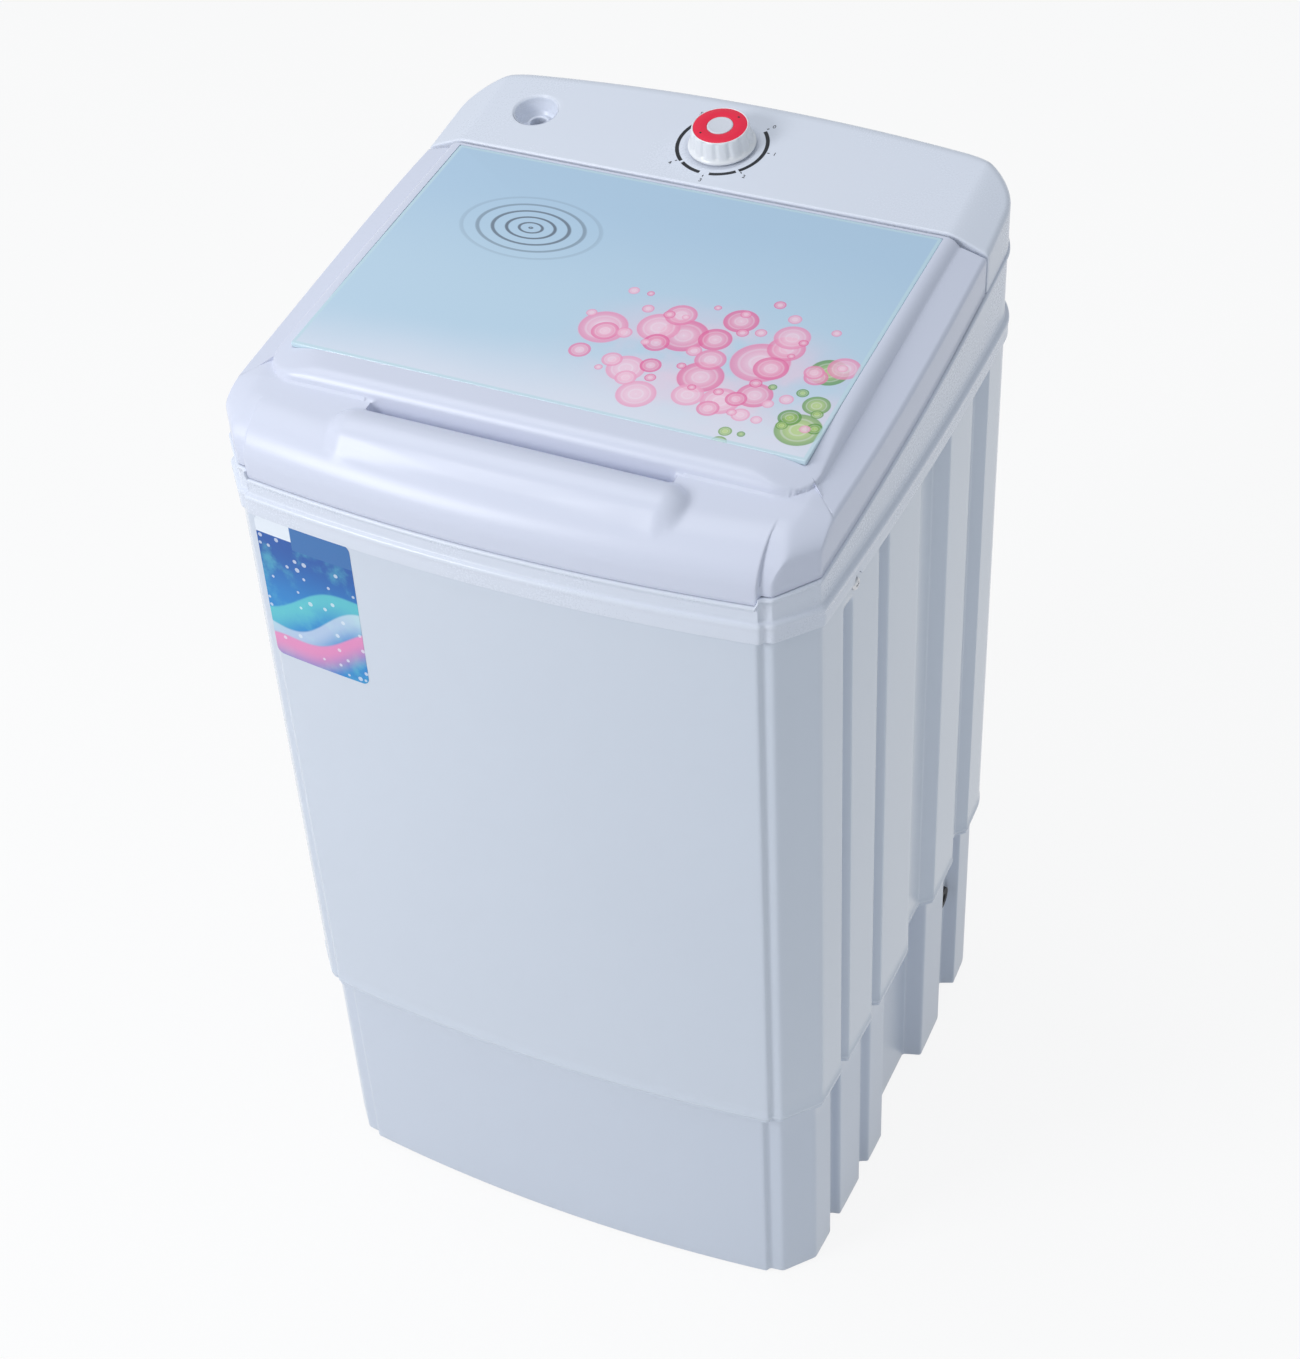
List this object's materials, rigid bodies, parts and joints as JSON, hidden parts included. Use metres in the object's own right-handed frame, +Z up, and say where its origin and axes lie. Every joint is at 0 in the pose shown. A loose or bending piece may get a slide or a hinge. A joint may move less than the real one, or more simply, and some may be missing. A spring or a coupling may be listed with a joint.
{
  "type": "spin dryer",
  "caption": "Single-tub top-loading spin dryer: square plastic cabinet on a stepped base, hinged glass-topped lid, timer panel, spring-hung motor and perforated basket.",
  "frame": {"origin": "on the floor, at the middle of the overall outline", "axes": "+Z up, the front with the handle faces -Y, +X to the right seen from the front"},
  "size_m": [0.385, 0.392, 0.6928],
  "materials": {
    "shell": "smooth moulded, cool pale blue-grey",
    "frame": "smooth moulded, slightly warm grey-white",
    "lid": "high-gloss white with a bluish cast",
    "glass": "clear glass, printed on its underside",
    "white_plastic": "satin white",
    "red_plastic": "glossy red",
    "grey_plastic": "satin grey",
    "black_plastic": "matt black",
    "tub": "natural polypropylene, pale blue-grey",
    "basket": "satin off-white",
    "rubber": "matt black",
    "zinc": "bright zinc plate",
    "spring_steel": "oiled",
    "laminations": "bare laminations, lacquered",
    "copper": "enamelled copper",
    "bell": "die-cast",
    "drum": "turned",
    "lining": "brake lining",
    "can": "drawn can"
  },
  "bodies": {
    "machine": {"base": "shell", "feet": "rubber", "cabinet": "shell", "deck": "frame", "deck_screws": "zinc", "base_screws": "zinc", "control_panel": "frame", "inlet_funnel": "frame", "timer_case": "white_plastic", "switch_case": "black_plastic", "outer_tub": "tub", "tub_seal": "rubber", "seal_clamp": "zinc", "drain_pipe": "grey_plastic", "brake_pivot": "zinc", "motor_upper_bell": "bell", "motor_lower_bell": "bell", "stator_core": "laminations", "stator_winding": "copper", "upper_bearing": "zinc", "lower_bearing": "zinc", "motor_bolts": "zinc", "motor_plate": "zinc", "springs": "spring_steel", "spring_cups": "rubber", "spring_caps": "rubber", "capacitor": "can", "capacitor_clip": "zinc", "cord_gland": "rubber"},
    "lid": {"lid_frame": "lid", "lid_glass": "glass", "lid_liner": "white_plastic", "hinge_pins": "zinc", "lid_striker": "white_plastic"},
    "knob": {"timer_shaft": "zinc", "timer_knob": "white_plastic", "knob_ring": "red_plastic", "knob_centre": "white_plastic"},
    "lever": {"switch_lever": "red_plastic"},
    "spinner": {"basket": "basket", "balance_ring": "white_plastic", "basket_hub": "grey_plastic", "drive_shaft": "zinc", "brake_drum": "drum", "rotor": "laminations"},
    "plate": {"press_plate": "white_plastic"},
    "brake": {"brake_arm": "zinc", "brake_pad": "lining"}
  },
  "joints": [
    {"name": "lid_hinge", "type": "hinge", "parent": "machine", "child": "lid", "pos_m": [0, 0.092, 0.657], "axis": [-1, 0, 0], "range_deg": [0, 95]},
    {"name": "timer_turn", "type": "hinge", "parent": "machine", "child": "knob", "pos_m": [0, 0.14219, 0.67486], "axis": [0, 0.1736, -0.9848], "range_deg": [0, 300]},
    {"name": "basket_spin", "type": "hinge", "parent": "machine", "child": "spinner", "pos_m": [0, -0.022, 0.2], "axis": [0, 0, 1], "continuous": true},
    {"name": "plate_lift", "type": "slide", "parent": "spinner", "child": "plate", "axis": [0, 0, 1], "range_m": [0, 0.29]},
    {"name": "brake_swing", "type": "hinge", "parent": "machine", "child": "brake", "pos_m": [0.05, -0.075, 0.159], "axis": [0, 0, 1], "range_deg": [0, 2.5]},
    {"name": "lever_swing", "type": "hinge", "parent": "machine", "child": "lever", "pos_m": [0.09, 0.124, 0.656], "axis": [-1, 0, 0], "range_deg": [0, 12]}
  ],
  "couplings": [
    {"joint": "brake_swing", "follows": "lid_hinge", "ratio": 0.026316},
    {"joint": "lever_swing", "follows": "lid_hinge", "ratio": 0.12632}
  ]
}
